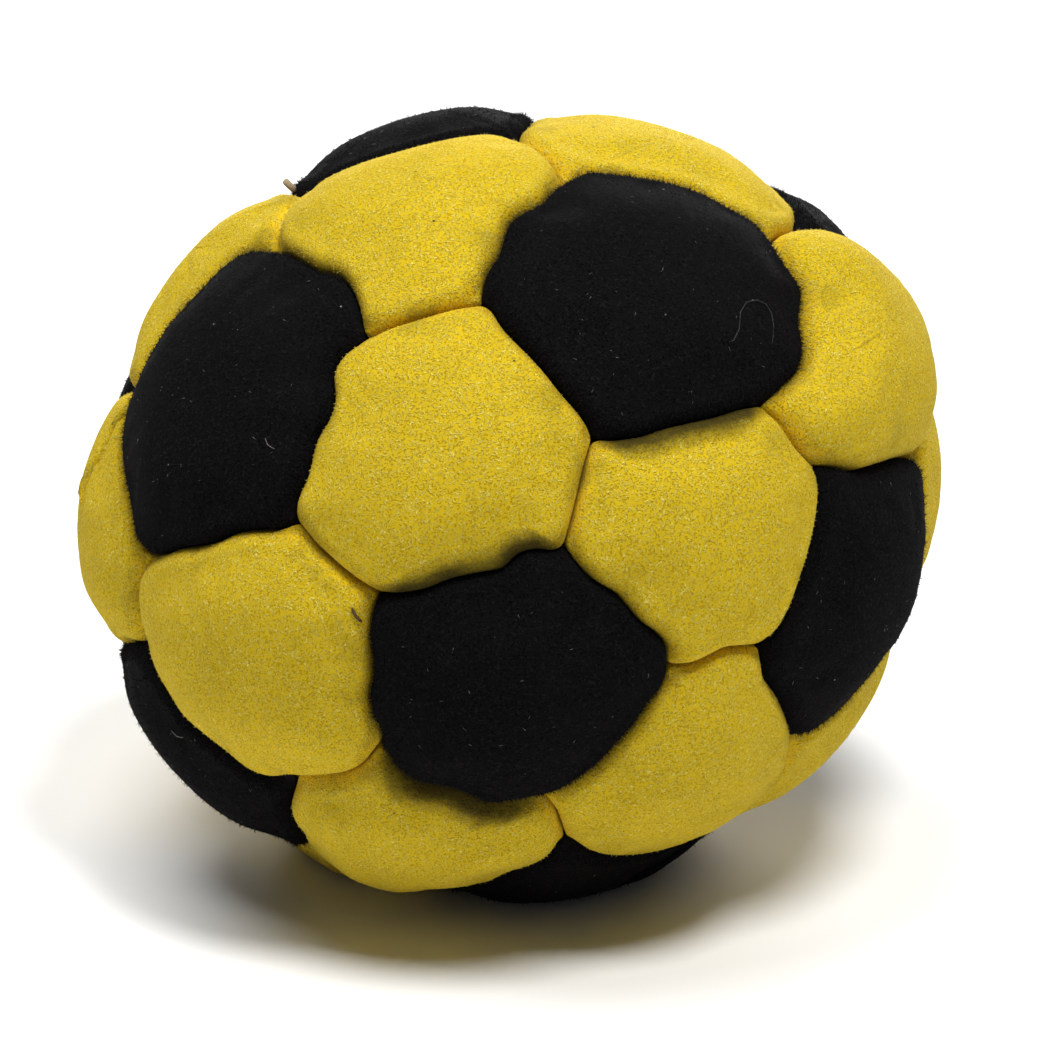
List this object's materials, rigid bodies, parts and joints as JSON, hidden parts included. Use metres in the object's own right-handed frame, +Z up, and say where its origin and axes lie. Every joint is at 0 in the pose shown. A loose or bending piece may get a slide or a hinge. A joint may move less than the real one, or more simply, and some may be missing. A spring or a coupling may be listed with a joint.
{
  "type": "footbag",
  "caption": "Small hand-sewn kicking bag of black pentagon and yellow hexagon suede panels, filled with sand, slumped on a flat foot.",
  "frame": {"origin": "middle of the bag's box at the height of its flat foot, which rests on z = 0", "axes": "+Z up from the foot; -Y towards the viewer of the picture; +X to the viewer's right"},
  "size_m": [0.0506, 0.0508, 0.0446],
  "materials": {
    "black_suede": "matte napped suede",
    "yellow_suede": "matte napped suede",
    "waxed_thread": "waxed thread",
    "sand": "loose dry grains"
  },
  "bodies": {
    "root": {"black_panel_01": "black_suede", "black_panel_02": "black_suede", "black_panel_03": "black_suede", "black_panel_04": "black_suede", "black_panel_05": "black_suede", "black_panel_06": "black_suede", "black_panel_07": "black_suede", "black_panel_08": "black_suede", "black_panel_09": "black_suede", "black_panel_10": "black_suede", "black_panel_11": "black_suede", "black_panel_12": "black_suede", "yellow_panel_01": "yellow_suede", "yellow_panel_02": "yellow_suede", "yellow_panel_03": "yellow_suede", "yellow_panel_04": "yellow_suede", "yellow_panel_05": "yellow_suede", "yellow_panel_06": "yellow_suede", "yellow_panel_07": "yellow_suede", "yellow_panel_08": "yellow_suede", "yellow_panel_09": "yellow_suede", "yellow_panel_10": "yellow_suede", "yellow_panel_11": "yellow_suede", "yellow_panel_12": "yellow_suede", "yellow_panel_13": "yellow_suede", "yellow_panel_14": "yellow_suede", "yellow_panel_15": "yellow_suede", "yellow_panel_16": "yellow_suede", "yellow_panel_17": "yellow_suede", "yellow_panel_18": "yellow_suede", "yellow_panel_19": "yellow_suede", "yellow_panel_20": "yellow_suede", "seam_thread": "waxed_thread", "filling": "sand"}
  },
  "joints": []
}
